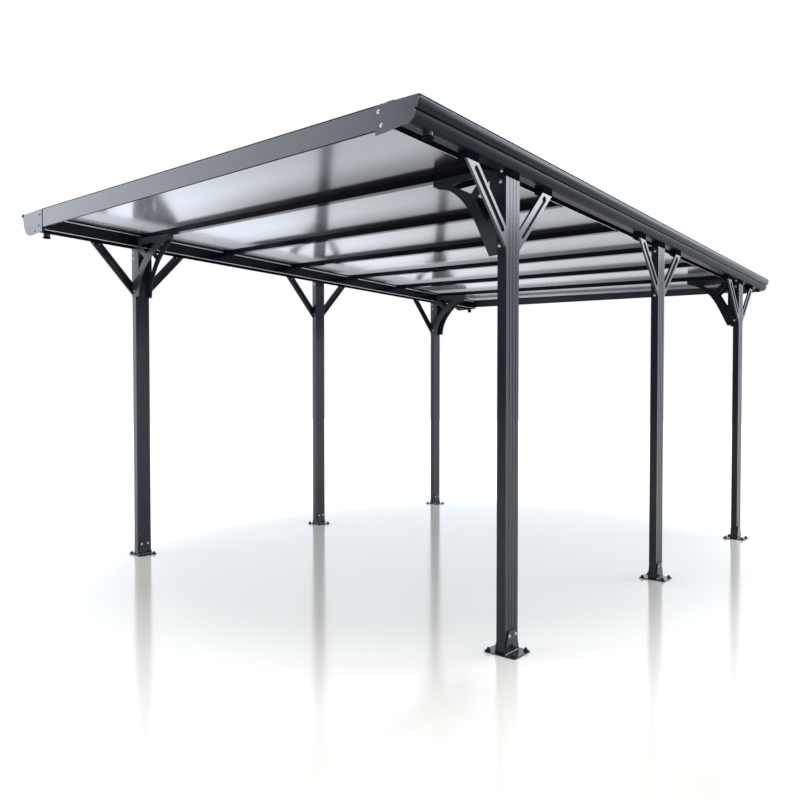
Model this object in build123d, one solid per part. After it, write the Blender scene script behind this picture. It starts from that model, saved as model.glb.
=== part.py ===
# A free-standing carport: a glazed lean-to roof on six posts.
# Frame: +Z up, ground at Z = 0, origin at the middle of the footprint.
# +X is the low eave, -X the high eave, -Y the front gable, +Y the rear gable.
import os
from math import hypot

from build123d import *

os.makedirs("parts", exist_ok=True)

# Layout
bay_pitch = 714.0
bay_count = 7
low_lip_reach = 1764.0
high_lip_reach = 1785.0
post_in_low = 62.0
post_off_wall = 62.0
cut_over = 20.0
fit_gap = 0.2

# Roof slope
gable_top_mid = 2345.3
roof_rise = 190.6
panel_drop = 46.0
panel_thick = 8.0
panel_over = 45.0
rafter_drop = 35.0
rafter_width = 40.0
rafter_wall = 2.5
rafter_web = 14.0
rafter_cap = 46.0
rafter_cap_thick = 4.0

# Posts and feet
post_across = 46.0
post_along = 106.0
post_wall = 3.0
groove_width = 7.0
groove_depth = 1.2
groove_pitch = 26.0
foot_across = 166.0
foot_along = 140.0
foot_plate = 6.0
foot_corner = 9.0
tab_thick = 5.0
tab_height = 106.0
tab_base_in = 2.0
tab_top = 74.0
tab_corner = 14.0
anchor_r = 7.0
anchor_inset = 17.0

# Low eave gutter, each place measured in from its lip and down from it
low_lip_drop = 2.6
low_notch_in = 12.0
low_notch_down = 45.0
low_bulge_in = 22.0
low_bulge_down = 77.0
low_hem_in = 61.0
low_hem_down = 92.0
low_heel_in = 89.0
low_flange_down = 60.0
low_width = 182.0

# High eave gutter, measured the same way
high_lip_drop = 6.6
high_notch_in = 10.0
high_notch_down = 40.0
high_bulge_in = 45.0
high_bulge_down = 117.0
high_hem_in = 111.0
high_hem_down = 157.0
high_belly_mid_in = 38.0
high_belly_mid_down = 85.0
high_belly_in = 95.0
high_belly_down = 113.0
high_heel_in = 260.0
high_width = 354.0

# What the gutters share
gutter_wall = 3.0
notch_step = 5.0
crown_share = 0.5
crown_out = 7.0
bead_r = 4.0
saddle_deep = 33.0
saddle_proud = 2.0

# Gable fascias and end caps
fascia_thick = 3.0
fascia_low_height = 98.0
fascia_high_height = 124.0
shelf_depth = 30.0
shelf_thick = 3.0
cap_thick = 3.0
cap_lap = 29.0
cap_low_down = 101.0
cap_high_width = 316.0

# Braces
brace_face = 62.0
brace_thick = 12.0
brace_reach_low = 253.0
brace_drop_low = 265.0
brace_reach_high = 275.0
brace_drop_high = 297.0
brace_slot = 28.0
brace_slot_depth = 9.0
brace_slot_share = 0.86
slot_corner_share = 0.32

# Gussets
gusset_thick = 4.0
gusset_reach_low = 431.0
gusset_reach_high = 434.0
gusset_drop_low = 389.0
gusset_drop_high = 427.0
gusset_leg = 90.0
gusset_tip = 30.0
gusset_low_edge_shares = ((0.371, 0.348), (0.531, 0.620), (0.791, 0.852))
gusset_high_edge_shares = ((0.304, 0.360), (0.465, 0.565), (0.783, 0.815))
gusset_low_upper_shares = ((0.725, 0.885), (0.290, 0.905), (0.455, 0.730))
gusset_low_lower_shares = ((0.205, 0.830), (0.390, 0.655), (0.245, 0.385), (0.205, 0.420))
gusset_high_upper_shares = ((0.270, 0.921), (0.694, 0.903), (0.431, 0.742))
gusset_high_lower_shares = ((0.196, 0.821), (0.366, 0.677), (0.233, 0.511), (0.205, 0.412))

# Outlet spouts
spout_r = 21.0
spout_wall = 2.5
spout_len_low = 21.0
spout_len_high = 38.0
spout_inset_low = 129.0
spout_inset_high = 42.0
spout_in_low = 57.0
spout_off_wall = 65.0

half_length = bay_pitch * bay_count / 2
corner_y = half_length - bay_pitch
slope = roof_rise / (low_lip_reach + high_lip_reach)
gable_in = half_length - cap_thick - fascia_thick
rafter_base = panel_drop + rafter_drop


def roof_z(x, drop):
    """Height of a line parallel to the roof, a set drop below the gable top."""
    return gable_top_mid - slope * x - drop


outward = {"low": 1, "high": -1}
lip_x = {"low": low_lip_reach, "high": -high_lip_reach}
lip_z = {"low": roof_z(low_lip_reach, low_lip_drop), "high": roof_z(-high_lip_reach, high_lip_drop)}
wall_x = {"low": low_lip_reach - low_width, "high": high_width - high_lip_reach}
hem_z = {"low": lip_z["low"] - low_hem_down, "high": lip_z["high"] - high_hem_down}
rows = {"low": low_lip_reach - post_in_low, "high": wall_x["high"] - post_off_wall}
lines = {"front": -corner_y, "mid": 0.0, "rear": corner_y}
post_top = {"low": hem_z["low"] - saddle_deep, "high": hem_z["high"]}
ends = {"front": -1, "rear": 1}


def along_y(face, y_low, y_high):
    """An X-Z face carried along Y."""
    plane = Plane(origin=(0, y_high, 0), x_dir=(1, 0, 0), z_dir=(0, -1, 0))
    return extrude(plane * face, amount=y_high - y_low)


def prism_y(points, y_low, y_high):
    """A closed X-Z outline carried along Y."""
    return along_y(make_face(Polyline(*points, close=True)), y_low, y_high)


def prism_x(points, x_low, x_high):
    """A closed Y-Z outline carried along X."""
    plane = Plane(origin=(x_low, 0, 0), x_dir=(0, 1, 0), z_dir=(1, 0, 0))
    return extrude(plane * make_face(Polyline(*points, close=True)), amount=x_high - x_low)


def block(x_low, x_high, y_low, y_high, z_low, z_high):
    """A plain bar between two corners."""
    middle = ((x_low + x_high) / 2, (y_low + y_high) / 2, (z_low + z_high) / 2)
    return Pos(*middle) * Box(x_high - x_low, y_high - y_low, z_high - z_low)


def strip(x_low, x_high, y_low, y_high, drop_top, drop_base):
    """A bar following the roof slope between two drops below the gable top."""
    points = [
        (x_low, roof_z(x_low, drop_base)),
        (x_high, roof_z(x_high, drop_base)),
        (x_high, roof_z(x_high, drop_top)),
        (x_low, roof_z(x_low, drop_top)),
    ]
    return prism_y(points, y_low, y_high)


def save(shape, name):
    """One named piece, written in millimetres."""
    shape.label = name
    export_step(shape, f"parts/{name}.step")


def gutter_point(side, inset, down):
    """A place in a gutter's section, in from its lip and down from it."""
    return (lip_x[side] - outward[side] * inset, lip_z[side] - down)


def outer_wall(side):
    """Edges of a gutter's outer wall: lip, upper bulge, step, lower bulge, hem."""
    low = side == "low"
    notch_in = low_notch_in if low else high_notch_in
    notch_down = low_notch_down if low else high_notch_down
    lip = gutter_point(side, 0, 0)
    crown = gutter_point(side, notch_in * crown_share - crown_out, notch_down * crown_share)
    notch = gutter_point(side, notch_in, notch_down)
    step = gutter_point(side, notch_in + notch_step, notch_down)
    bulge = gutter_point(side, low_bulge_in, low_bulge_down) if low else gutter_point(
        side, high_bulge_in, high_bulge_down)
    hem = gutter_point(side, low_hem_in, low_hem_down) if low else gutter_point(
        side, high_hem_in, high_hem_down)
    upper = ThreePointArc(lip, crown, notch) if low else Line(lip, notch)
    return [upper, Line(notch, step), ThreePointArc(step, bulge, hem)], hem


def gutter_face(side):
    """The filled section of a gutter, carried up past its lip."""
    edges, hem = outer_wall(side)
    top = lip_z[side] + cut_over
    lip = gutter_point(side, 0, 0)
    if side == "low":
        floor = lip[1] - low_flange_down
        heel_x = low_lip_reach - low_heel_in
        under = [hem, (heel_x, hem[1]), (heel_x, floor)]
    else:
        floor = hem[1]
        step = gutter_point(side, high_notch_in + notch_step, high_notch_down)
        belly = gutter_point(side, high_belly_in, high_belly_down)
        middle = gutter_point(side, high_belly_mid_in, high_belly_mid_down)
        edges[-1] = ThreePointArc(step, middle, belly)
        under = [belly, (high_heel_in - high_lip_reach, floor)]
    wall = wall_x[side]
    edges.append(Polyline(*under, (wall, floor), (wall, top), (lip[0], top), lip))
    return make_face(edges), floor


def make_gutter(side):
    """An eave gutter: one thin section with a rolled lip, drilled for its outlets."""
    s = outward[side]
    face, floor = gutter_face(side)
    trough = along_y(face - offset(face, amount=-gutter_wall), -gable_in, gable_in)
    lip = gutter_point(side, 0, 0)
    wall_top = min(roof_z(wall_x[side], panel_drop), roof_z(wall_x[side] + s * gutter_wall, panel_drop))
    over = cut_over * 2
    mouth = [
        (wall_x[side] - s * over, wall_top),
        (wall_x[side] + s * gutter_wall, wall_top),
        (lip[0] - s * gutter_wall, lip[1]),
        (lip[0] + s * over, lip[1]),
        (lip[0] + s * over, lip[1] + over),
        (wall_x[side] - s * over, lip[1] + over),
    ]
    trough -= prism_y(mouth, -half_length, half_length)
    bead = Pos(lip[0] - s * bead_r, lip[1] - bead_r) * Circle(bead_r)
    trough += along_y(bead, -gable_in, gable_in)
    for way in ends.values():
        x, y = spout_place(side, way)
        depth = (floor - hem_z[side]) * 2 if side == "low" else cut_over
        trough -= Pos(x, y, hem_z[side]) * Cylinder(spout_r - spout_wall, depth)
    return trough


def make_post(side, line):
    """A hollow extruded post, grooved on its two wide faces."""
    x = rows[side]
    y = lines[line]
    top = post_top[side]
    section = Rectangle(post_across, post_along)
    section -= Rectangle(post_across - post_wall * 2, post_along - post_wall * 2)
    for face in (-1, 1):
        for step in (-1, 0, 1):
            groove = Rectangle(groove_depth * 2, groove_width)
            section -= Pos(face * post_across / 2, step * groove_pitch) * groove
    return Pos(x, y, foot_plate) * extrude(section, amount=top - foot_plate)


def make_foot(side, line):
    """A base plate with its anchor holes and two upright tapered tabs that clasp the post."""
    x = rows[side]
    y = lines[line]
    plate = Rectangle(foot_across, foot_along)
    plate = chamfer(plate.vertices(), foot_corner)
    pitch_x = foot_across - anchor_inset * 2
    pitch_y = foot_along - anchor_inset * 2
    plate -= GridLocations(pitch_x, pitch_y, 2, 2) * Circle(anchor_r)
    foot = Pos(x, y, 0) * extrude(plate, amount=foot_plate)
    half_base = foot_along / 2 - tab_base_in - foot_corner
    half_top = tab_top / 2
    outline = [
        (y - half_base, 0),
        (y + half_base, 0),
        (y + half_top, tab_height - tab_corner),
        (y + half_top - tab_corner / 2, tab_height),
        (y - half_top + tab_corner / 2, tab_height),
        (y - half_top, tab_height - tab_corner),
    ]
    for face in (-1, 1):
        near = x + face * (post_across / 2 + fit_gap)
        far = near + face * tab_thick
        foot += prism_x(outline, min(near, far), max(near, far))
    return foot


def brace_size(side):
    """A brace's reach and drop, and the length its ends take up along Z and along Y."""
    reach = brace_reach_low if side == "low" else brace_reach_high
    drop = brace_drop_low if side == "low" else brace_drop_high
    span = hypot(reach, drop)
    return reach, drop, brace_face * span / reach, brace_face * span / drop


def brace_seat(line, way):
    """Where a brace meets the post, or the gusset on a corner post."""
    seat = post_along / 2
    if line != "mid":
        seat += gusset_thick
    return lines[line] + way * seat


def brace_sides(side):
    """The two X faces of a brace, the outer one flush with the post."""
    outer = rows[side] + outward[side] * post_across / 2
    return outer, outer - outward[side] * brace_thick


def make_brace(side, line, way):
    """A flat bar from the post up to the gutter, with a deep slot in its +X face."""
    reach, drop, rise, run = brace_size(side)
    top = post_top[side]
    y0 = brace_seat(line, way)
    points = [
        (y0, top - drop - rise / 2),
        (y0 + way * (reach + run / 2), top),
        (y0 + way * (reach - run / 2), top),
        (y0, top - drop + rise / 2),
    ]
    sides = brace_sides(side)
    bar = prism_x(points, min(sides), max(sides))
    plane = Plane(origin=(max(sides), y0 + way * reach / 2, top - drop / 2), x_dir=(0, way * reach, drop),
                  z_dir=(1, 0, 0))
    slot = Rectangle(hypot(reach, drop) * brace_slot_share, brace_slot)
    slot = plane * chamfer(slot.vertices(), brace_slot * slot_corner_share)
    return bar - extrude(slot, amount=brace_slot_depth, both=True)


def make_saddles(line):
    """Blocks that carry the low gutter on a post and its two braces, hollowed to the gutter's belly."""
    reach, drop, rise, run = brace_size("low")
    face, floor = gutter_face("low")
    low = post_top["low"]
    y = lines[line]
    inner = rows["low"] - post_across / 2
    outer = rows["low"] + post_across / 2 + saddle_proud
    spans = [(y - post_along / 2, y + post_along / 2)]
    for way in ends.values():
        middle = brace_seat(line, way) + way * reach
        spans.append((middle - run / 2, middle + run / 2))
    belly = along_y(face, y - half_length, y + half_length)
    return [block(inner, outer, near, far, low, floor) - belly for near, far in spans]


def gusset_sheet(side, y, way):
    """A bent sheet, tall as the roof: flat on the post, then leaning in to the side of the rafter."""
    s = outward[side]
    x_in = rows[side] - s * post_across / 2
    reach = (gusset_reach_low if side == "low" else gusset_reach_high) - post_across
    lean = (post_along - rafter_width) / 2 / reach
    over = reach + cut_over
    inner = [
        (x_in + s * (post_across + cut_over), y + way * post_along / 2),
        (x_in, y + way * post_along / 2),
        (x_in - s * over, y + way * (post_along / 2 - lean * over)),
    ]
    outer = [(x, place + way * gusset_thick) for x, place in reversed(inner)]
    return extrude(make_face(Polyline(*inner, *outer, close=True)), amount=gable_top_mid)


def make_gusset(side, line):
    """A pair of curved, pierced plates that lean from the post to the rafter, tied by a strap under it."""
    low = side == "low"
    s = outward[side]
    x_out = rows[side] + s * post_across / 2
    x_in = rows[side] - s * post_across / 2
    reach = gusset_reach_low if low else gusset_reach_high
    tip_x = x_out - s * reach
    tip_z = roof_z(tip_x, rafter_base)
    base = roof_z(x_out, rafter_base) - (gusset_drop_low if low else gusset_drop_high)
    wall = wall_x[side]
    under = roof_z(wall, rafter_base)
    shoulder = hem_z[side] - fit_gap

    def at(shares):
        return (x_out - s * shares[0] * reach, base + shares[1] * (tip_z - base))

    rim = [(x_out, base)]
    if low:
        hem_x = low_lip_reach - low_hem_in
        heel_x = low_lip_reach - low_heel_in - fit_gap
        rim += [(x_out, post_top["low"]), (hem_x, shoulder), (heel_x, shoulder), (heel_x, under)]
    else:
        rim += [(x_out, shoulder), (wall, shoulder)]
    rim += [(wall, under), (tip_x, tip_z)]
    leg = (x_out - s * gusset_leg, base)
    tip = (tip_x, tip_z - gusset_tip)
    shares = gusset_low_edge_shares if low else gusset_high_edge_shares
    inner = Spline(leg, *[at(pair) for pair in shares], tip)
    outline = make_face([Polyline(leg, *rim, tip), inner])
    windows = (gusset_low_upper_shares, gusset_low_lower_shares) if low else (
        gusset_high_upper_shares, gusset_high_lower_shares)
    for window in windows:
        outline -= make_face(Polyline(*[at(pair) for pair in window], close=True))
    y = lines[line]
    half_post = (post_along + gusset_thick) / 2
    half_bar = (rafter_width + gusset_thick) / 2
    plan = make_face(Polyline((x_in, y - half_post), (x_in, y + half_post), (tip_x, y + half_bar),
                              (tip_x, y - half_bar), close=True))
    strap = strip(min(wall, tip_x), max(wall, tip_x), y - half_post, y + half_post, rafter_base,
                  rafter_base + gusset_thick)
    gusset = strap & extrude(plan, amount=gable_top_mid)
    tip_back = tip_x + s * gusset_thick
    gusset += strip(min(tip_x, tip_back), max(tip_x, tip_back), y - half_bar, y + half_bar, rafter_base,
                    rafter_base + gusset_tip)
    slab = along_y(outline, y - post_along, y + post_along)
    for way in ends.values():
        gusset += slab & gusset_sheet(side, y, way)
    return gusset


def spout_place(side, way):
    """Where an outlet spout hangs under its gutter."""
    if side == "low":
        return low_lip_reach - spout_in_low, way * (half_length - spout_inset_low)
    return wall_x["high"] - spout_off_wall, way * (half_length - spout_inset_high)


def make_spout(side, way):
    """A round outlet stub, its top shaped to the gutter's underside."""
    x, y = spout_place(side, way)
    ring = Circle(spout_r) - Circle(spout_r - spout_wall)
    face, floor = gutter_face(side)
    base = hem_z[side] - (spout_len_low if side == "low" else spout_len_high)
    tube = Pos(x, y, base) * extrude(ring, amount=floor - base)
    if side == "high":
        return tube
    return tube - along_y(face, y - spout_r * 2, y + spout_r * 2)


def make_cap(side, way):
    """An end plate that closes a gutter and laps or meets the gable fascia."""
    edges, hem = outer_wall(side)
    lip = gutter_point(side, 0, 0)
    if side == "low":
        edge_x = wall_x["low"] - cap_lap
        base = lip_z["low"] - cap_low_down
    else:
        edge_x = cap_high_width - high_lip_reach
        base = hem[1]
    edges.append(Polyline(hem, (edge_x, base), (edge_x, roof_z(edge_x, 0)), lip))
    face = make_face(edges)
    far = way * half_length
    near = way * (half_length - cap_thick)
    seat = way * gable_in
    cap = along_y(face, min(near, far), max(near, far))
    plug = along_y(face, min(near, seat), max(near, seat))
    if side == "low":
        reach_y = half_length + cut_over
        plug -= block(edge_x - cut_over, wall_x["low"] + fit_gap, -reach_y, reach_y, 0, gable_top_mid)
    return cap + plug


def make_fascia(way):
    """A tapered gable plate with a shelf under the panel edge."""
    x_low = cap_high_width - high_lip_reach + fit_gap
    x_high = wall_x["low"]
    near = way * gable_in
    far = near + way * fascia_thick
    points = [
        (x_low, roof_z(x_low, fascia_high_height)),
        (x_high, roof_z(x_high, fascia_low_height)),
        (x_high, roof_z(x_high, 0)),
        (x_low, roof_z(x_low, 0)),
    ]
    plate = prism_y(points, min(near, far), max(near, far))
    inside = near - way * shelf_depth
    shelf = strip(wall_x["high"] + fit_gap, wall_x["low"] - fit_gap, min(inside, near), max(inside, near),
                  panel_drop, panel_drop + shelf_thick)
    return plate + shelf


def make_rafter(y):
    """A hollow bar under the panels with a web and a cap strip above them."""
    x_low = wall_x["high"] + fit_gap
    x_high = wall_x["low"] - fit_gap
    half = rafter_width / 2
    bar = strip(x_low, x_high, y - half, y + half, panel_drop, rafter_base)
    bore = strip(x_low - cut_over, x_high + cut_over, y - half + rafter_wall, y + half - rafter_wall,
                 panel_drop + rafter_wall, rafter_base - rafter_wall)
    panel_top = panel_drop - panel_thick - fit_gap
    web = strip(x_low, x_high, y - rafter_web / 2, y + rafter_web / 2, panel_top, panel_drop)
    half_cap = rafter_cap / 2
    cap = strip(x_low, x_high, y - half_cap, y + half_cap, panel_top - rafter_cap_thick, panel_top)
    return bar - bore + web + cap


def make_panel(index):
    """One glazing sheet from gutter to gutter."""
    y_low = -half_length + index * bay_pitch + rafter_web / 2 + fit_gap
    y_high = y_low + bay_pitch - rafter_web - fit_gap * 2
    if index == 0:
        y_low = -gable_in + fit_gap
    if index == bay_count - 1:
        y_high = gable_in - fit_gap
    return strip(wall_x["high"] - panel_over, wall_x["low"] + panel_over, y_low, y_high,
                 panel_drop - panel_thick, panel_drop)


for side in rows:
    for line in lines:
        save(make_post(side, line), f"post_{side}_{line}")
        save(make_foot(side, line), f"foot_{side}_{line}")
        pair = [make_brace(side, line, way) for way in ends.values()]
        save(Compound(children=pair), f"braces_{side}_{line}")
        if line != "mid":
            save(make_gusset(side, line), f"gusset_{side}_{line}")
    save(make_gutter(side), f"gutter_{side}")
    for end, way in ends.items():
        save(make_cap(side, way), f"end_cap_{side}_{end}")

saddles = [saddle for line in lines for saddle in make_saddles(line)]
save(Compound(children=saddles), "saddles")
spouts = [make_spout(side, way) for side in rows for way in ends.values()]
save(Compound(children=spouts), "spouts")
for end, way in ends.items():
    save(make_fascia(way), f"fascia_{end}")
for index in range(1, bay_count):
    save(make_rafter(-half_length + index * bay_pitch), f"rafter_{index}")
for index in range(bay_count):
    save(make_panel(index), f"panel_{index + 1}")
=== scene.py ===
# %% [markdown]
# # A carport, dressed
# The solids of the carport come in as a fixed frame, in metres, with +Z up and the ground at zero. +X
# is the low eave and -Y the front gable. This lesson gives every solid its finish, adds the small
# fasteners and trims, and sets a bright studio around it.

# %% Load the frame
import math

import bmesh
import bpy
import numpy as np
from mathutils import Matrix, Quaternion, Vector


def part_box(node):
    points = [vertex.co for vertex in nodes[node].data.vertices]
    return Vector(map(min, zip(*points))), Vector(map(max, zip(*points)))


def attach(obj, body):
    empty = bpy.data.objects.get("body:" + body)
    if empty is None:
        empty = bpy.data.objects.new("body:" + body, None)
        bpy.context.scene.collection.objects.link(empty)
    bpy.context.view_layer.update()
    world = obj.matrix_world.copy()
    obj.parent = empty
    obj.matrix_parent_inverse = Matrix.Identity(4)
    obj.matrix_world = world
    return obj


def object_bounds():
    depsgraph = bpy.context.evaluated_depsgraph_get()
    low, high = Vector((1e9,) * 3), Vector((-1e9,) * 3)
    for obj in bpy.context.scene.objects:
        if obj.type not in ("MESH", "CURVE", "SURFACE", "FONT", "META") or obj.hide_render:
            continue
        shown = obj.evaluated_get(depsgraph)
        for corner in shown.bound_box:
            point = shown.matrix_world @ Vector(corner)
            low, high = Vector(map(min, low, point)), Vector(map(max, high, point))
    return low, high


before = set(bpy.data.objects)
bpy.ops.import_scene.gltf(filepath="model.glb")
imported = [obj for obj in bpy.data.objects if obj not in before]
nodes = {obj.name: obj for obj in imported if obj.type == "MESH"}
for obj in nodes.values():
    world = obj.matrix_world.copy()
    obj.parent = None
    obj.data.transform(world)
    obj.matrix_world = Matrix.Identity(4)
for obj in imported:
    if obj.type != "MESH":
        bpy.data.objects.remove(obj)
cad_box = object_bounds()
print("nodes", len(nodes), "box", [[round(v, 3) for v in c] for c in cad_box])

# %% [markdown]
# ## Surfaces as arrays
# A bolt head, a washer or a strip is a grid of points: one parameter runs along a profile, the other
# round an axis. The grid could be filled point by point, but whole arrays are shorter and faster, and
# one array can hold a hundred copies of the same head at once.

# %% Turn grids of points into meshes
weld_within = 1e-6


def add_mesh(name, grids, closed=True):
    """A mesh from an array of shape (copies, rings, around, 3): each quad joins a point to the next
    ring and the next place around, and the last place around joins the first. Points that meet at a tip
    are welded into one."""
    copies, rings, around, _ = grids.shape
    r, a = np.meshgrid(np.arange(rings - 1), np.arange(around if closed else around - 1), indexing="ij")
    b = (a + 1) % around
    quads = np.stack([r * around + a, r * around + b, (r + 1) * around + b, (r + 1) * around + a], axis=-1)
    quads = quads.reshape(1, -1, 4) + (np.arange(copies) * rings * around).reshape(-1, 1, 1)
    mesh = bpy.data.meshes.new(name)
    mesh.from_pydata(grids.reshape(-1, 3).tolist(), [], quads.reshape(-1, 4).tolist())
    weld = bmesh.new()
    weld.from_mesh(mesh)
    bmesh.ops.remove_doubles(weld, verts=weld.verts, dist=weld_within)
    if closed:
        bmesh.ops.recalc_face_normals(weld, faces=weld.faces)
    weld.to_mesh(mesh)
    weld.free()
    mesh.update()
    piece = bpy.data.objects.new(name, mesh)
    bpy.context.scene.collection.objects.link(piece)
    return piece


print("points closer than", weld_within, "m are welded")

# %% [markdown]
# ## Turned heads
# Every bolt, nut and collar is a body of revolution. A lathe profile could be spun by a modifier, but
# as arrays the turning is one line, and the copies are aimed and placed in the same step.

# %% Turn a profile and aim its copies
def revolve(profile, around=20, flats=0):
    """A profile of (radius, height) pairs turned round Z: x = r cos t, y = r sin t, z = h. With flats,
    the radius is pulled in to a polygon: r times cos(pi/n) over cos of the angle from a flat's
    middle."""
    r, h = np.array(profile, float).T
    t = np.arange(around) * 2 * np.pi / around
    pull = np.ones(around)
    if flats:
        pull = np.cos(np.pi / flats) / np.cos((t % (2 * np.pi / flats)) - np.pi / flats)
    x = r[:, None] * np.cos(t) * pull
    y = r[:, None] * np.sin(t) * pull
    return np.stack([x, y, np.repeat(h[:, None], around, axis=1)], axis=-1)


def aim(grid, places, axis):
    """Copies of a grid whose Z turns to the axis, one at each place: p = place + R g."""
    turn = np.array(Vector((0, 0, 1)).rotation_difference(Vector(axis)).to_matrix())
    turned = grid @ turn.T
    return np.array(places, float)[:, None, None, :] + turned[None]


print("a turned profile of two points has shape", revolve([(1, 0), (1, 1)]).shape)

# %% [markdown]
# ## Straight strips
# Seals and beads are extruded or pulled through a die on the real roof, so each is one small loop
# carried along a line. A curve with a bevel would do it too, but an array closes both tips and takes
# many strips at once.

# %% Carry a loop along a line
def oval(wide, tall, power=2.0, around=12):
    """A loop of (u, v): u = wide c, v = tall s, where c and s are the cosine and sine with the exponent
    2 / power, so that power 2 is an ellipse and a larger power is a bar with rounded corners."""
    t = np.arange(around) * 2 * np.pi / around + np.pi / around
    c, s = np.cos(t), np.sin(t)
    u = wide * np.sign(c) * abs(c) ** (2 / power)
    v = tall * np.sign(s) * abs(s) ** (2 / power)
    return np.stack([u, v], axis=1)


def sweep(loop, spans, across=(1, 0, 0), up=(0, 0, 1)):
    """A loop of (u, v) carried from each start to its end: p = start + t (end - start) + k (u across +
    v up). The factor k is 0 at both tips and 1 between, so each strip is closed."""
    spans = np.array(spans, float)
    t, k = np.array([0, 0, 1, 1.0]), np.array([0, 1, 1, 0.0])
    spine = spans[:, :1] + t[:, None] * (spans[:, 1:] - spans[:, :1])
    ring = loop[:, :1] * np.array(across, float) + loop[:, 1:] * np.array(up, float)
    return spine[:, :, None, :] + k[:, None, None] * ring


print("one strip has shape", sweep(oval(1, 1), [((0, 0, 0), (0, 1, 0))]).shape)

# %% [markdown]
# ## Small steps for node trees
# A finish is arithmetic on places: steps, products and ramps. Written out node by node it would fill
# pages, so a few helpers make one node each and hand back its output socket.

# %% Node helpers
def ramp(tree, value, low, high, first, last):
    """A smoothstep from first to last while the value runs from low to high."""
    node = tree.nodes.new("ShaderNodeMapRange")
    node.interpolation_type = "SMOOTHSTEP"
    for socket, number in (("From Min", low), ("From Max", high), ("To Min", first), ("To Max", last)):
        node.inputs[socket].default_value = number
    tree.links.new(value, node.inputs["Value"])
    return node.outputs["Result"]


def maths(tree, operation, *values):
    """One step of arithmetic on sockets and numbers."""
    node = tree.nodes.new("ShaderNodeMath")
    node.operation = operation
    for socket, value in zip(node.inputs, values):
        if isinstance(value, float):
            socket.default_value = value
        else:
            tree.links.new(value, socket)
    return node.outputs[0]


def product(tree, first, *others):
    """All the sockets multiplied together."""
    for other in others:
        first = maths(tree, "MULTIPLY", first, other)
    return first


def scaled(tree, colour, factor):
    """A colour times a factor; the colour is a socket or three numbers."""
    node = tree.nodes.new("ShaderNodeVectorMath")
    node.operation = "SCALE"
    if isinstance(colour, tuple):
        node.inputs[0].default_value = colour
    else:
        tree.links.new(colour, node.inputs[0])
    tree.links.new(factor, node.inputs["Scale"])
    return node.outputs[0]


def own_axes(tree):
    """The X, Y and Z of a piece's own coordinates."""
    place, part = tree.nodes.new("ShaderNodeTexCoord"), tree.nodes.new("ShaderNodeSeparateXYZ")
    tree.links.new(place.outputs["Object"], part.inputs[0])
    return part.outputs["X"], part.outputs["Y"], part.outputs["Z"]


print("node helpers: ramp, maths, product, scaled, own_axes")

# %% [markdown]
# ## Powder coat
# The frame is coated aluminium: a dark anthracite with a soft gloss and a very fine orange-peel skin.
# One flat colour would look like plastic, so a shared node group lets the colour drift a little over
# the lengths and gives the skin its fine grain. Each finish places the same group with its own values.

# %% Build the coat's node group
drift_scale = 2.6
drift_detail = 3.0
group_values = (("Drift", 0.25), ("Rough", 0.38), ("Grain", 900.0))


def coat_group():
    """Colour and roughness times (1 + drift (noise - 0.5)), and a fine noise for the bump."""
    group = bpy.data.node_groups.new("coat_skin", "ShaderNodeTree")
    face = group.interface
    face.new_socket("Color", in_out="INPUT", socket_type="NodeSocketColor")
    for name, value in group_values:
        face.new_socket(name, in_out="INPUT", socket_type="NodeSocketFloat").default_value = value
    face.new_socket("Color", in_out="OUTPUT", socket_type="NodeSocketColor")
    face.new_socket("Rough", in_out="OUTPUT", socket_type="NodeSocketFloat")
    face.new_socket("Height", in_out="OUTPUT", socket_type="NodeSocketFloat")
    n, link = group.nodes, group.links.new
    given, out = n.new("NodeGroupInput"), n.new("NodeGroupOutput")
    place = n.new("ShaderNodeTexCoord")
    broad, fine = n.new("ShaderNodeTexNoise"), n.new("ShaderNodeTexNoise")
    broad.inputs["Scale"].default_value = drift_scale
    broad.inputs["Detail"].default_value = drift_detail
    link(place.outputs["Object"], broad.inputs["Vector"])
    link(place.outputs["Object"], fine.inputs["Vector"])
    link(given.outputs["Grain"], fine.inputs["Scale"])
    centred = maths(group, "SUBTRACT", broad.outputs["Fac"], 0.5)
    swing = maths(group, "MULTIPLY_ADD", centred, given.outputs["Drift"], 1.0)
    link(scaled(group, given.outputs["Color"], swing), out.inputs["Color"])
    link(product(group, given.outputs["Rough"], swing), out.inputs["Rough"])
    link(fine.outputs["Fac"], out.inputs["Height"])
    return group


coat_skin = coat_group()
print("group", coat_skin.name, "with", len(coat_skin.nodes), "nodes")

# %% [markdown]
# ## One coat, painted lighter and darker
# A coated bar shows the room at its own angle, so the same paint looks darker under the roof and paler
# on the gable. Lights alone gave too little of that, so groups of pieces get slightly different tones
# and gloss: painted shade under the roof and painted light on the gable. The shader stays in each
# material, with its plain values on its own sockets, and only what varies comes from the group.

# %% Make the frame's finishes
bump_depth = 0.001
coat_drift = 0.25


def new_material(name):
    """A material, its node tree and its shader."""
    made = bpy.data.materials.new(name)
    made.use_nodes = True
    return made, made.node_tree, made.node_tree.nodes["Principled BSDF"]


def place_skin(tree, colour, rough, drift):
    """The coat group, placed in a material with its own values."""
    skin = tree.nodes.new("ShaderNodeGroup")
    skin.node_tree = coat_skin
    skin.inputs["Color"].default_value = (*colour, 1.0)
    skin.inputs["Rough"].default_value = rough
    skin.inputs["Drift"].default_value = drift
    return skin


def raise_skin(tree, shader, height, strength):
    """A bump of a height map on the shader's normal."""
    bumps = tree.nodes.new("ShaderNodeBump")
    bumps.inputs["Strength"].default_value = strength
    bumps.inputs["Distance"].default_value = bump_depth
    tree.links.new(height, bumps.inputs["Height"])
    tree.links.new(bumps.outputs["Normal"], shader.inputs["Normal"])


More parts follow.
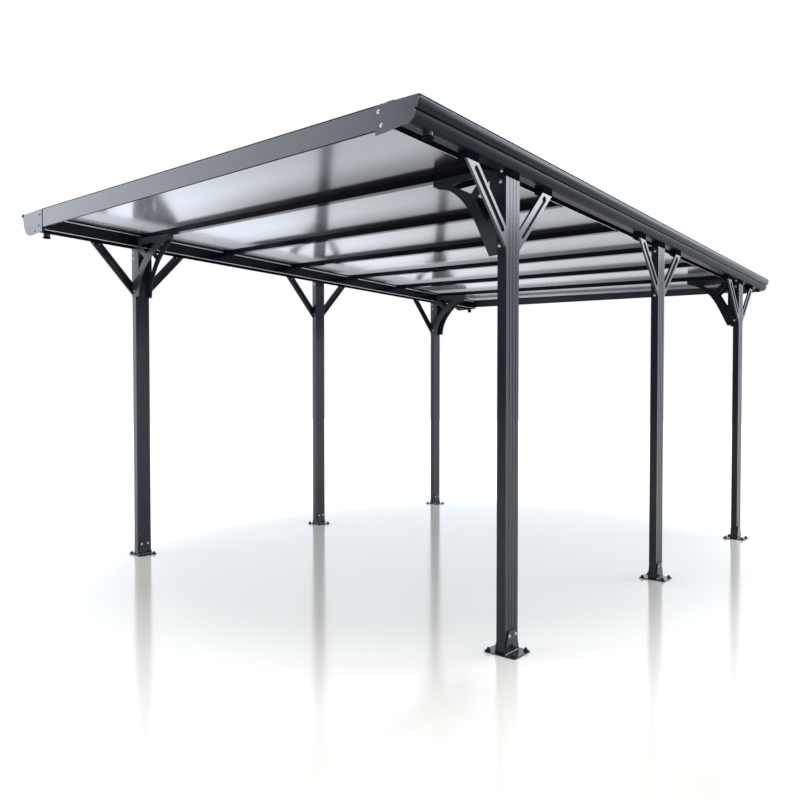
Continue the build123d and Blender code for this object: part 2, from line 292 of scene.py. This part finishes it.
def coat(name, colour, rough, specular, bump=0.008, metallic=0.0):
    """A coated-metal finish: the coat group feeds colour, roughness and a slight bump."""
    made, tree, shader = new_material(name)
    shader.inputs["Specular IOR Level"].default_value = specular
    shader.inputs["Metallic"].default_value = metallic
    skin = place_skin(tree, colour, rough, coat_drift)
    tree.links.new(skin.outputs["Color"], shader.inputs["Base Color"])
    tree.links.new(skin.outputs["Rough"], shader.inputs["Roughness"])
    raise_skin(tree, shader, skin.outputs["Height"], bump)
    return made


# The base colours paint shade and light per piece family: darkest on the roof, rafters and gutters, palest on
# the gable, rear and strap coats.
post_coat = coat("post_coat", (0.009, 0.013, 0.021), 0.19, 0.50)
gusset_coat = coat("gusset_coat", (0.005, 0.008, 0.013), 0.22, 0.40)
strap_coat = coat("strap_coat", (0.032, 0.037, 0.045), 0.28, 0.35)
brace_coat = coat("brace_coat", (0.012, 0.015, 0.021), 0.16, 0.90)
roof_coat = coat("roof_coat", (0.003, 0.0045, 0.008), 0.11, 0.09)
eave_coat = coat("eave_coat", (0.006, 0.009, 0.015), 0.18, 0.15)
gable_coat = coat("gable_coat", (0.034, 0.039, 0.050), 0.24, 0.50)
rear_coat = coat("rear_coat", (0.020, 0.024, 0.032), 0.26, 0.35)
saddle_rubber = coat("saddle_rubber", (0.005, 0.007, 0.011), 0.60, 0.0)
pipe_gloss = coat("pipe_gloss", (0.015, 0.017, 0.022), 0.14, 0.45)
print("finishes", [m.name for m in bpy.data.materials if m.use_nodes])

# %% [markdown]
# ## The low gutter's lower bulge
# Below its groove the low gutter turns under and loses its gloss. A second material would need a cut in
# the solid, so the same coat grows rougher below a height instead.

# %% Dull the lower bulge
groove_base = 2.2000
groove_top = 2.2060
bulge_rough = 0.42


def duller_below(made, low, high, rough):
    """The roughness is at least a smoothstep of z: the duller value up to low, none from high on."""
    tree = made.node_tree
    socket = tree.nodes["Principled BSDF"].inputs["Roughness"]
    given = socket.links[0].from_socket
    _, _, z = own_axes(tree)
    tree.links.new(maths(tree, "MAXIMUM", given, ramp(tree, z, low, high, rough, 0.0)), socket)


duller_below(eave_coat, groove_base, groove_top, bulge_rough)
print("eave coat is duller below", groove_base)

# %% [markdown]
# ## Where the glazing is painted light and dark
# From below, the roof sheets mirror the pale floor and the dark rafters, and a little daylight comes
# through. A mirror in a plain studio gives only part of that. So shade is painted into the sheet's own
# colour: it falls off down the slope, into the carport and towards each rafter, and the first bay is
# painted lighter. Two places, a band by the high eave and strips before the rear rafters, mirror less
# and glow with painted light. These masks follow the piece's own coordinates.

# %% Work out the sheet's masks
bay_count = 7
sheet_thick = 0.008
sheet_lo, sheet_hi = [[float(v) for v in c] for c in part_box("panel_1")]
roof_slope = (sheet_hi[2] - sheet_lo[2] - sheet_thick) / (sheet_hi[0] - sheet_lo[0])
sheet_middle = sheet_lo[2] + roof_slope * sheet_hi[0] + sheet_thick / 2
bay_start = float(cad_box[0][1])
bay_pitch = (float(cad_box[1][1]) - bay_start) / bay_count
skin_blend = sheet_thick / 4
# Each ramp: where it starts and ends, and the values before and after.
# These ramps paint shade and light into the sheet's colour; the band and strip ramps place its painted glow.
down_slope = (-1.2, 1.2, 1.0, 0.38)
into_carport = (-1.8, 1.4, 1.0, 0.78)
first_bay = (-2.1, -1.7, 1.15, 1.0)
rafter_shade_x = (-0.7, 0.5, 0.35, 0.88)
rafter_shade_y = (-0.4, 1.0, 1.0, 0.0)
rafter_shade_bay = (0.40, 0.85, 0.0, 1.0)
band_start = (-1.37, -1.24, 0.0, 1.0)
band_end = (-1.15, -0.85, 1.0, 0.0)
band_rear = (0.8, 1.2, 1.0, 0.0)
strip_bay = (0.62, 0.80, 0.0, 1.0)
strip_y = (-0.5, 0.2, 0.0, 1.0)
strip_x = (-0.6, 1.4, 1.0, 0.35)


def sheet_masks(tree):
    """Three values. The underside is where z + slope x is less than at the sheet's middle. The painted
    light and shade is the product of the ramps down the slope, into the carport and in the first bay,
    times 1 less the painted shade before a rafter. The painted glow mask is the larger of the band and
    the strips, on the underside alone."""
    x, y, z = own_axes(tree)
    level = maths(tree, "MULTIPLY_ADD", x, roof_slope, z)
    below = ramp(tree, level, sheet_middle - skin_blend, sheet_middle + skin_blend, 1.0, 0.0)
    bay = maths(tree, "FRACT", maths(tree, "DIVIDE", maths(tree, "SUBTRACT", y, bay_start), bay_pitch))
    shade = product(tree, ramp(tree, x, *rafter_shade_x), ramp(tree, y, *rafter_shade_y),
                    ramp(tree, bay, *rafter_shade_bay))
    light = product(tree, ramp(tree, x, *down_slope), ramp(tree, y, *into_carport), ramp(tree, y, *first_bay),
                    maths(tree, "SUBTRACT", 1.0, shade))
    band = product(tree, ramp(tree, x, *band_start), ramp(tree, x, *band_end), ramp(tree, y, *band_rear))
    strips = product(tree, ramp(tree, bay, *strip_bay), ramp(tree, y, *strip_y), ramp(tree, x, *strip_x))
    cloud = product(tree, maths(tree, "MAXIMUM", band, strips), below)
    return below, light, cloud


print("slope", round(roof_slope, 4), "sheet middle", round(sheet_middle, 4), "bay", round(bay_pitch, 3))

# %% [markdown]
# ## Glazing
# The sheets are pale, glossy and a little cloudy, with faint lines where the inner webs run. Clear
# glass would show the sky and hide the sheet, so the finish is a pale body that mirrors strongly from
# below and weakly on top, with painted shade in its colour and a painted glow below.

# %% Make the sheet finish
sheet_colour = (0.73, 0.775, 0.885)
sheet_rough = 0.15
sheet_drift = 0.12
# The top's colour is dimmed by this factor, a painted shade.
top_painted_shade = 0.68
mirror_clear = 0.72
mirror_cloudy = 0.30
mirror_top_share = 0.3
painted_glow_colour = (0.88, 0.93, 1.0)
painted_glow_strength = 0.24
web_pitch = 0.020
web_bump = 0.02
# A wave texture of scale 1 has a period of 0.314 m.
wave_period = 0.314


def sheet_finish():
    """A pale gloss. The colour is scaled by the painted light and shade mask below and by one painted
    shade value on top. Metallic runs from its clear value down to a lower one by the painted glow mask,
    and is a share of that on top. The painted glow mask also makes the underside glow, a painted light.
    A bump of sin(2 pi y / web pitch) stands for the webs inside the sheet."""
    made, tree, shader = new_material("opal_sheet")
    link = tree.links.new
    skin = place_skin(tree, sheet_colour, sheet_rough, sheet_drift)
    below, light, cloud = sheet_masks(tree)
    both = maths(tree, "ADD", product(tree, light, below), ramp(tree, below, 0.0, 1.0, top_painted_shade, 0.0))
    mirror = product(tree, ramp(tree, cloud, 0.0, 1.0, mirror_clear, mirror_cloudy),
                     ramp(tree, below, 0.0, 1.0, mirror_top_share, 1.0))
    # The underside glows where the painted glow mask is: painted light, not a lamp.
    glow = scaled(tree, painted_glow_colour, maths(tree, "MULTIPLY", cloud, painted_glow_strength))
    link(scaled(tree, skin.outputs["Color"], both), shader.inputs["Base Color"])
    link(skin.outputs["Rough"], shader.inputs["Roughness"])
    link(mirror, shader.inputs["Metallic"])
    link(glow, shader.inputs["Emission Color"])
    shader.inputs["Emission Strength"].default_value = 1.0
    place, waves = tree.nodes.new("ShaderNodeTexCoord"), tree.nodes.new("ShaderNodeTexWave")
    waves.bands_direction = "Y"
    waves.inputs["Scale"].default_value = wave_period / web_pitch
    link(place.outputs["Object"], waves.inputs["Vector"])
    raise_skin(tree, shader, waves.outputs["Fac"], web_bump)
    return made


opal_sheet = sheet_finish()
print("sheet finish with", len(opal_sheet.node_tree.nodes), "nodes")

# %% [markdown]
# ## Dress the solids
# The solids keep their shape and place, and each gets the finish of its kind. A list of name beginnings
# is enough, because the nodes are named for their pieces.

# %% Give every solid its finish
finish_of = (
    ("post_", post_coat), ("foot_", post_coat), ("braces_low", brace_coat), ("braces_high", gusset_coat),
    ("gusset_low", gusset_coat), ("gusset_high", strap_coat), ("gutter_low", eave_coat),
    ("gutter_high", roof_coat), ("end_cap", gable_coat), ("fascia_front", gable_coat),
    ("fascia_rear", rear_coat), ("rafter", roof_coat), ("panel", opal_sheet), ("saddles", saddle_rubber),
    ("spouts", pipe_gloss),
)
for name, piece in nodes.items():
    chosen = [finish for start, finish in finish_of if name.startswith(start)][0]
    piece.data.materials.clear()
    piece.data.materials.append(chosen)
print("dressed", len(nodes))

# %% [markdown]
# ## Fasteners
# Bright domed bolts hold the feet, gussets and braces, and dark domed nuts sit on the anchors in the
# ground. Each kind is one turned profile, copied to all its places in one array, so a kind is one piece
# of the scene.

# %% Bolt finishes and profiles
bright_zinc = coat("bright_zinc", (0.62, 0.63, 0.66), 0.25, 0.5, metallic=0.9)
dark_zinc = coat("dark_zinc", (0.02, 0.021, 0.024), 0.35, 0.4, metallic=0.3)
bolt_sides = 18
nut_sides = 24
nut_flats = 6
sunk = 0.0005
washer_thick = 0.002
quarter = np.linspace(0, np.pi / 2, 6)
crown_share = 0.72
rim_shares = (0.15, 0.22, 0.95)
washer_share = 1.35
nut_shares = (0.50, 0.55)
nut_dome_shares = (0.88, 0.75)


def quarter_dome(radius, base, rise):
    """A quarter ellipse that ends on the axis: r cos t and base + rise sin t."""
    curve = np.stack([radius * np.cos(quarter), base + rise * np.sin(quarter)], axis=1)
    curve[-1, 0] = 0
    return curve


def dome(radius, height):
    """A domed head on a thin rim, turned from its profile."""
    edge, base, slim = rim_shares
    rim = [(0, -sunk), (radius, -sunk), (radius, height * edge), (radius * slim, height * base)]
    crown = quarter_dome(radius * crown_share, height * base, height * (1 - base))
    return revolve(np.vstack([rim, crown]), bolt_sides)


def domed_nut(radius, height):
    """A washer, and a hexagon nut under a dome, as two turned grids."""
    wide = radius * washer_share
    washer = revolve([(0, -sunk), (wide, -sunk), (wide, washer_thick), (0, washer_thick)], nut_sides)
    seat = washer_thick - sunk
    flank, base = nut_shares
    slim, rise = nut_dome_shares
    nut = [(0, seat), (radius, seat), (radius, height * flank)]
    crown = quarter_dome(radius * slim, height * base, height * rise)
    head = revolve(np.vstack([nut, crown]), nut_sides, nut_flats)
    return washer, head


def fasten(name, grids, finish):
    """Puts a kind of fastener or trim into the scene, riding on the frame."""
    piece = add_mesh(name, grids)
    piece.data.materials.append(finish)
    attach(piece, "root")
    print(name, "copies", grids.shape[0], "faces", len(piece.data.polygons))


bolt = dome(0.0085, 0.006)
print("a bolt head has", bolt.shape[0], "rings of", bolt.shape[1])

# %% [markdown]
# ## Feet
# Each foot is a plate with two tabs that clasp the post. Four anchors hold the plate down, and two
# bolts go through each tab. Their places come from the feet's own boxes, so they follow the solids.

# %% Tab bolts and ground anchors
anchor_x = 0.066
anchor_y = 0.053
plate_top = 0.006
post_half = 0.023
tab_gap = 0.0002
tab_thick = 0.005
tab_face = post_half + tab_gap + tab_thick
tab_bolt_y = 0.025
tab_bolt_z = 0.082
feet = [np.array(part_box(name)) for name in nodes if name.startswith("foot_")]
middles = np.array([(lo + hi) / 2 for lo, hi in feet])
corners = np.array([(sx * anchor_x, sy * anchor_y) for sx in (-1, 1) for sy in (-1, 1)])
anchors = (middles[:, None, :2] + corners).reshape(-1, 2)
anchors = np.concatenate([anchors, np.full((len(anchors), 1), plate_top)], axis=1)
washer, head = domed_nut(0.0100, 0.012)
fasten("anchor_washers", aim(washer, anchors, (0, 0, 1)), dark_zinc)
fasten("anchor_heads", aim(head, anchors, (0, 0, 1)), dark_zinc)
for label, side in (("in", -1), ("out", 1)):
    places = [(m[0] + side * tab_face, m[1] + dy, tab_bolt_z)
              for m in middles for dy in (-tab_bolt_y, tab_bolt_y)]
    fasten(f"tab_bolts_{label}", aim(bolt, places, (side, 0, 0)), bright_zinc)

# %% [markdown]
# ## Folds of the feet
# Where a tab turns up from its plate the fold catches the light in a lighter line, painted here as a
# highlight. It could be painted by a mask on the solid, but a thin pale strip in the corner also rounds
# the fold.

# %% Folds with a painted highlight
fold_front = 0.058
fold_rear = 0.052
fold_z = 0.0074
# The pale line along each fold is a painted highlight.
fold_painted_highlight = coat("fold_painted_highlight", (0.55, 0.57, 0.61), 0.35, 0.5, bump=0.0, metallic=0.4)
fold_lines = [(m[0] + side * tab_face, m[1]) for m in middles for side in (-1, 1)]
folds = [((x, y - fold_front, fold_z), (x, y + fold_rear, fold_z)) for x, y in fold_lines]
fasten("tab_folds", sweep(oval(0.0018, 0.0016), folds), fold_painted_highlight)

# %% [markdown]
# ## Bolts on the posts
# Three bolts go through both plates of each gusset into the corner post, and two sit in the narrow
# faces of each middle post. Each bolt could be a piece of its own, but one list of places for each
# facing keeps a facing in one piece.

# %% Gusset bolts and post bolts
gusset_bolt_heights = {"low": (1.822, 2.102, 2.148), "high": (1.962, 2.205, 2.250)}
outward = {"low": 1, "high": -1}
first_bolt_in = 0.010
bolt_step = 0.005
post_bolt_drops = (0.029, 0.307)
ends = {"front": -1, "rear": 1}
post_x = {row: float(sum(c[0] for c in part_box(f"post_{row}_mid")) / 2) for row in outward}


def end_face(node, way):
    """The y of a node's front face, for way -1, or of its rear face, for way 1."""
    lo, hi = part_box(node)
    return lo[1] if way < 0 else hi[1]


for label, way in ends.items():
    places = []
    for row, heights in gusset_bolt_heights.items():
        across = [post_x[row] - outward[row] * (first_bolt_in - bolt_step * i) for i in range(len(heights))]
        for end in ends:
            y = end_face(f"gusset_{row}_{end}", way)
            places += [(x, y, z) for x, z in zip(across, heights)]
    fasten(f"gusset_bolts_{label}", aim(bolt, places, (0, way, 0)), bright_zinc)
for label, way in ends.items():
    places = [(post_x[row], end_face(f"post_{row}_mid", way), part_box(f"post_{row}_mid")[1][2] - drop)
              for row in outward for drop in post_bolt_drops]
    fasten(f"post_bolts_{label}", aim(bolt, places, (0, way, 0)), bright_zinc)

# %% [markdown]
# ## Screws in the end caps
# The caps that close the gutters are held by screws, bright where the low cap laps the gable board and
# dark on the high cap. Their places are given in the plane of the cap, as x and z.

# %% Cap screws
low_screws = ((1.569, 2.234), (1.584, 2.179))
high_screws = ((-1.503, 2.392), (-1.520, 2.323), (-1.583, 2.293))
for end, way in ends.items():
    y = end_face(f"end_cap_low_{end}", way)
    bright = [(x, y, z) for x, z in low_screws]
    dark = [(x, y, z) for x, z in high_screws]
    fasten(f"cap_screws_low_{end}", aim(dome(0.008, 0.005), bright, (0, way, 0)), bright_zinc)
    fasten(f"cap_screws_high_{end}", aim(dome(0.0085, 0.003), dark, (0, way, 0)), dark_zinc)

# %% [markdown]
# ## Bolts at the tops of the high braces
# Each brace on the tall posts ends in a pair of small bolts, just under the gutter. They sit on the
# inner face of the bar, which the braces' own box gives. The braces mirror each other about their post,
# so two signs and the three post lines give all the places.

# %% Brace bolts
brace_bolt_reach = 0.328
brace_bolt_half = 0.022
brace_bolt_drop = 0.012
brace_face = max(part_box(f"braces_high_{end}")[1][0] for end in ends)
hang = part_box("gutter_high")[0][2]
post_lines = [sum(c[1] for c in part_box(f"post_high_{line}")) / 2 for line in ("front", "mid", "rear")]
tops = [(brace_face, y + side * brace_bolt_reach + step, hang - brace_bolt_drop)
        for y in post_lines for side in (-1, 1) for step in (-brace_bolt_half, brace_bolt_half)]
fasten("brace_bolts_high", aim(dome(0.0055, 0.004), tops, (1, 0, 0)), bright_zinc)

# %% [markdown]
# ## Studs on the tall corner posts
# A dark stud sits high on the gable side of each tall corner post. It could be a solid of its own, but
# for something this small a low dome on the face is enough.

# %% Post studs
stud_in = 0.006
stud_z = 2.247
for end, way in ends.items():
    stud = [(post_x["high"] - stud_in, end_face(f"post_high_{end}", way), stud_z)]
    fasten(f"post_stud_{end}", aim(dome(0.008, 0.004), stud, (0, way, 0)), dark_zinc)

# %% [markdown]
# ## Black strips and pale beads on the low gutter
# The low gutter is an extrusion with dark and bright lines along it: a black strip under its inner
# flange, a black seal on its lip, a black strip in the groove between its two bulges as a painted
# shadow, and a thin pale bead where the glazing ends as a painted highlight. Each is a small loop
# carried along the gutter. They could be painted on the solid, but strips also catch the light from
# other sides.

# %% Strips along the low gutter
# This black is the rubber of the lip seal, plug and pad, the dark joints and board edges, the black strip
# under the low flange, and painted shade in the groove and sill strips and the lip slot.
black_rubber_and_shade = coat("black_rubber_and_shade", (0.003, 0.003, 0.005), 0.70, 0.0)
# A pale strip in this finish is a painted highlight along an edge.
painted_highlight_edge = coat("painted_highlight_edge", (0.72, 0.75, 0.80), 0.30, 0.5, metallic=0.6)
strip_inset = 0.0005


def along(gutter, x, z):
    """One strip's start and end, along a gutter at the given x and z."""
    lo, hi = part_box(gutter)
    return [((x, lo[1] + strip_inset, z), (x, hi[1] - strip_inset, z))]


low_strips = (
    ("flange_seal", oval(0.0455, 0.0009, 8), (1.6287, 2.1875), black_rubber_and_shade),
    ("lip_seal", oval(0.0034, 0.0036), (1.7648, 2.2468), black_rubber_and_shade),
    # The groove strip is a painted shadow: black where the ledge's shade falls.
    ("groove_seal", oval(0.0022, 0.0022), (1.7480, 2.2015), black_rubber_and_shade),
    # The flange bead is a painted highlight where the glazing ends.
    ("flange_bead", oval(0.0022, 0.0030), (1.5808, 2.1892), painted_highlight_edge),
)
for name, loop, (x, z), finish in low_strips:
    fasten(name, sweep(loop, along("gutter_low", x, z)), finish)

# %% [markdown]
# ## The band below the lip
# Under the seal on the low gutter's lip the upper bulge carries a slightly raised band, with a pale satin
# line along it that is a painted highlight. The band is an arc with a small depth, so it lies on the
# bulge instead of being painted there.

# %% Lip band and its line
band_out = 1.7668
band_middle = 2.2335
line_x = 1.7664
line_z = 2.2412
satin_painted_highlight = coat("satin_painted_highlight", (0.24, 0.26, 0.29), 0.35, 0.5, bump=0.0, metallic=0.5)


def arc_band(radius=0.0627, low=-16.0, high=7.0, depth=0.004):
    """A loop of (u, v). The outer face is an arc, u = -r (1 - cos t), v = r sin t, for t from low to
    high degrees, and the inner face is the same arc set back by the depth."""
    t = np.radians(np.linspace(low, high, 8))
    u, v = -radius * (1 - np.cos(t)), radius * np.sin(t)
    return np.stack([np.concatenate([u, u[::-1] - depth]), np.concatenate([v, v[::-1]])], axis=1)


fasten("lip_band", sweep(arc_band(), along("gutter_low", band_out, band_middle)), eave_coat)
fasten("lip_bead", sweep(oval(0.0016, 0.0022), along("gutter_low", line_x, line_z)), satin_painted_highlight)

# %% [markdown]
# ## Shadow strip and highlight beads on the high gutter
# The high gutter is seen from inside. A black strip along its underside is a painted shadow, a pale
# bead on its lower edge is a painted highlight, and in every bay a pale bead, another painted highlight,
# sits just under the glazing and stops short of the rafters. One long bead would run through the
# rafters, so the bays get seven short ones in one array.

# %% Strips along the high gutter
high_lo, high_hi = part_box("gutter_high")
sill_in = 0.0475
sill_drop = 0.0003
sill_bead_rise = 0.0030
bay_bead_z = 2.3600
bead_stop = 0.03
inner = high_hi[0]
rafter_lines = [sum(c[1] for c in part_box(f"rafter_{i}")) / 2 for i in range(1, bay_count)]
stops = [high_lo[1], *rafter_lines, high_hi[1]]
bays = [((inner, a + bead_stop, bay_bead_z), (inner, b - bead_stop, bay_bead_z))
        for a, b in zip(stops, stops[1:])]
sill = along("gutter_high", inner - sill_in, high_lo[2] - sill_drop)
sill_edge = along("gutter_high", inner, high_lo[2] + sill_bead_rise)
# The black strip under the high gutter is a painted shadow in its corner.
fasten("sill_shadow_strip", sweep(oval(0.0460, 0.0006, 8), sill), black_rubber_and_shade)
# Both kinds of bead are painted highlights: pale strips where the edges catch the light.
fasten("sill_bead", sweep(oval(0.0014, 0.0024), sill_edge), painted_highlight_edge)
fasten("bay_beads", sweep(oval(0.0020, 0.0030), bays), painted_highlight_edge)

# %% [markdown]
# ## Gable trims
# On each gable a black joint parts the high cap from the fascia board, thin dark edges run along the
# board, and a rubber plug closes the end of the high lip, with a small dark slot below it. A small pad
# sits on the low cap. Lines could be painted on the solids, but thin strips keep their edges sharp. The
# ends of the board's edges are read from its solid, so they follow its slope.

# %% Joints, edges and plugs on both gables
trim_proud = 0.0004
edge_inset = 0.0015
joint_x = -1.469
joint_z = (2.2790, 2.4225)
plug_x = -1.779
plug_z = 2.4290
plug_shape = (1.0, 0.55, 1.0)
slot_x = -1.766
slot_z = 2.3950
pad_inset = 0.0020
pad_ends = ((1.612, 2.2596), (1.646, 2.2576))
same_x = 1e-4


def board_ends(name, top):
    """The two ends of a fascia board's top or bottom edge, as (x, z), read from its solid."""
    mesh = nodes[name].data
    points = np.empty(len(mesh.vertices) * 3)
    mesh.vertices.foreach_get("co", points)
    x, _, z = points.reshape(-1, 3).T
    pick = np.max if top else np.min
    return [(at, pick(z[abs(x - at) < same_x])) for at in (x.min(), x.max())]


for end, way in ends.items():
    y = end_face(f"fascia_{end}", way) + way * trim_proud
    edges = [[(x, y, z + lift) for x, z in board_ends(f"fascia_{end}", top)]
             for top, lift in ((False, edge_inset), (True, -edge_inset))]
    joint = [[(joint_x, y, z) for z in joint_z]]
    plug = dome(0.0220, 0.006) * np.array(plug_shape)
    pad = [[(x, y - way * pad_inset, z) for x, z in pad_ends]]
    facing = (0, way, 0)
    fasten(f"board_edges_{end}", sweep(oval(0.0012, 0.0020), edges, across=(0, 1, 0)), black_rubber_and_shade)
    fasten(f"cap_joint_{end}", sweep(oval(0.0030, 0.0012), joint, up=(0, 1, 0)), black_rubber_and_shade)
    fasten(f"lip_plug_{end}", aim(plug, [(plug_x, y, plug_z)], facing), black_rubber_and_shade)
    # The slot is a black dome on the face that stands for the shade inside it: painted shade.
    fasten(f"lip_slot_{end}", aim(dome(0.0050, 0.003), [(slot_x, y, slot_z)], facing), black_rubber_and_shade)
    fasten(f"cap_pad_{end}", sweep(oval(0.0028, 0.0026), pad, across=(0, 1, 0)), black_rubber_and_shade)

# %% [markdown]
# ## Outlet collars
# Each outlet stub ends in a black collar. A torus would be too round for it, so a loop with flatter
# sides is turned round the stub's axis.

# %% Collars
collar_radius = 0.0212
collar_rise = 0.0033
collar_sides = 28
# Each outlet: x, distance from the middle along y, and z.
low_outlet = (1.707, 2.370, 2.1350)
high_outlet = (-1.496, 2.457, 2.2396)
ring = oval(0.0034, 0.0036, 4) + np.array([collar_radius, collar_rise])
collar = revolve(np.vstack([ring, ring[:1]]), collar_sides)
spots = [(x, way * y, z) for x, y, z in (low_outlet, high_outlet) for way in ends.values()]
fasten("outlet_collars", aim(collar, spots, (0, 0, 1)), saddle_rubber)

# %% [markdown]
# ## Floor
# The carport stands on a pale glossy floor that runs off into white. The floor keeps the shadow and the
# mirror images of the posts. Mixing it to a white surface further out would wipe those images away, so
# it is lifted by a faint glow of its own instead, which grows with the distance from the middle.

# %% Lay the floor
floor_colour = (0.985, 0.950, 0.880, 1.0)
floor_rough = 0.12
floor_ior = 1.6
shadow_oval = (2.7, 3.3)
lift_ramp = (0.62, 1.12, 0.0, 0.36)
lift_in_mirrors = 0.5
floor_half = 40.0


def floor_finish():
    """White glossy floor. The distance from the middle, measured in the shadow's oval, lifts the floor
    by smoothstep to the white of the background. Mirrors see part of the lift."""
    made, tree, shader = new_material("studio_floor")
    shader.inputs["Base Color"].default_value = floor_colour
    shader.inputs["Roughness"].default_value = floor_rough
    shader.inputs["Specular IOR Level"].default_value = 1.0
    shader.inputs["IOR"].default_value = floor_ior
    shader.inputs["Emission Color"].default_value = (1.0, 1.0, 1.0, 1.0)
    n, link = tree.nodes, tree.links.new
    place, shrink = n.new("ShaderNodeTexCoord"), n.new("ShaderNodeMapping")
    length, rays = n.new("ShaderNodeVectorMath"), n.new("ShaderNodeLightPath")
    shrink.inputs["Scale"].default_value = (1 / shadow_oval[0], 1 / shadow_oval[1], 1.0)
    length.operation = "LENGTH"
    link(place.outputs["Object"], shrink.inputs["Vector"])
    link(shrink.outputs["Vector"], length.inputs[0])
    lift = ramp(tree, length.outputs["Value"], *lift_ramp)
    seen_in = ramp(tree, rays.outputs["Is Glossy Ray"], 0.0, 1.0, 1.0, lift_in_mirrors)
    link(product(tree, lift, seen_in), shader.inputs["Emission Strength"])
    return made


corner = np.array([-floor_half, floor_half])
floor_x, floor_y = np.meshgrid(corner, corner)
floor_grid = np.stack([floor_x, floor_y, np.zeros((2, 2))], axis=-1)
floor = add_mesh("studio_floor", floor_grid[None], closed=False)
floor.data.materials.append(floor_finish())
print("floor of", floor_half * 2, "m")

# %% [markdown]
# ## Background
# The camera sees plain white. The light on the carport is a soft, slightly cool white. Glossy surfaces
# see a brighter, cooler surround that turns dark towards the front, because a studio is dark behind the
# camera and dark paint shows that. Light Path tells the three apart.

# %% Set the world
seen_colour = (1, 1, 1, 1)
lit_colour = (0.96, 0.98, 1.0, 1.0)
lit_strength = 0.75
gloss_colour = (0.87, 0.93, 1.0, 1.0)
dark_towards = (0.26, -0.966, 0.0)
dark_ramp = (0.36, 0.66, 1.4, 0.12)


def studio_world():
    """Camera rays see white, glossy rays a surround whose strength is a smoothstep of the direction's
    dot product with the dark side, and all others the soft light."""
    world = bpy.data.worlds.new("studio")
    world.use_nodes = True
    tree = world.node_tree
    n, link = tree.nodes, tree.links.new
    seen, lit, gloss = n["Background"], n.new("ShaderNodeBackground"), n.new("ShaderNodeBackground")
    seen.inputs["Color"].default_value = seen_colour
    lit.inputs["Color"].default_value = lit_colour
    lit.inputs["Strength"].default_value = lit_strength
    gloss.inputs["Color"].default_value = gloss_colour
    rays, place = n.new("ShaderNodeLightPath"), n.new("ShaderNodeTexCoord")
    front = n.new("ShaderNodeVectorMath")
    front.operation = "DOT_PRODUCT"
    front.inputs[1].default_value = dark_towards
    link(place.outputs["Generated"], front.inputs[0])
    link(ramp(tree, front.outputs["Value"], *dark_ramp), gloss.inputs["Strength"])
    result = lit.outputs[0]
    for ray, surround in (("Is Glossy Ray", gloss), ("Is Camera Ray", seen)):
        mix = n.new("ShaderNodeMixShader")
        link(rays.outputs[ray], mix.inputs["Fac"])
        link(result, mix.inputs[1])
        link(surround.outputs[0], mix.inputs[2])
        result = mix.outputs[0]
    link(result, n["World Output"].inputs["Surface"])
    return world


bpy.context.scene.world = studio_world()
print("world", bpy.context.scene.world.name)

# %% [markdown]
# ## Lights
# Four softboxes model the frame. Two stand high at the rear, beyond the low eave, and the outer faces
# of the low posts and their braces mirror them. A long one hangs at the front left, rolled in line with
# the gable, for the fascia board. A small one stands low on the left for the tall posts. All stay weak,
# because the world gives most of the light.

# %% Softboxes
softbox_colour = (0.87, 0.92, 1.0)


def softbox(name, place, target, width, height, power, roll=0.0):
    """A rectangular lamp aimed at a point and rolled about its own axis; the camera does not see it."""
    lamp_data = bpy.data.lights.new(name, "AREA")
    lamp_data.shape = "RECTANGLE"
    lamp_data.size = width
    lamp_data.size_y = height
    lamp_data.energy = power
    lamp_data.color = softbox_colour
    lamp = bpy.data.objects.new(name, lamp_data)
    lamp.location = place
    aimed = (Vector(target) - Vector(place)).to_track_quat("-Z", "Y")
    lamp.rotation_euler = (aimed @ Quaternion((0, 0, 1), math.radians(roll))).to_euler()
    lamp.visible_camera = False
    bpy.context.scene.collection.objects.link(lamp)
    print(name, power, "W")


softbox("right_softbox", (5.6, 4.6, 5.0), (1.7, -1.8, 2.0), 2.6, 2.2, 85.0)
softbox("rear_softbox", (3.9, 7.0, 4.7), (1.7, 0.5, 2.2), 2.6, 2.4, 46.0)
softbox("gable_softbox", (-4.3, -5.9, 4.3), (0.2, -2.5, 2.3), 5.6, 1.8, 70.0, roll=26.0)
softbox("post_softbox", (-4.3, -2.9, 1.1), (-1.5, -1.2, 1.1), 1.6, 2.2, 10.0)

# %% [markdown]
# ## Camera
# The camera stands low, in front of the low corner, and looks along the carport. Its lens, place and
# turn were solved from the feet and the roof's corners.

# %% Camera
camera_place = (3.387, -4.4775, 1.1144)
camera_yaw = 40.815
camera_tilt = 88.751
camera_data = bpy.data.cameras.new("photo_camera")
camera_data.sensor_width = 36.0
camera_data.lens = 31.416
camera_data.shift_y = 0.0261
camera = bpy.data.objects.new("photo_camera", camera_data)
turn = Matrix.Rotation(math.radians(camera_yaw), 4, "Z") @ Matrix.Rotation(math.radians(camera_tilt), 4, "X")
camera.matrix_world = Matrix.Translation(camera_place) @ turn
bpy.context.scene.collection.objects.link(camera)
bpy.context.scene.camera = camera
bpy.context.scene.view_settings.view_transform = "Standard"
print("camera at", camera_place)
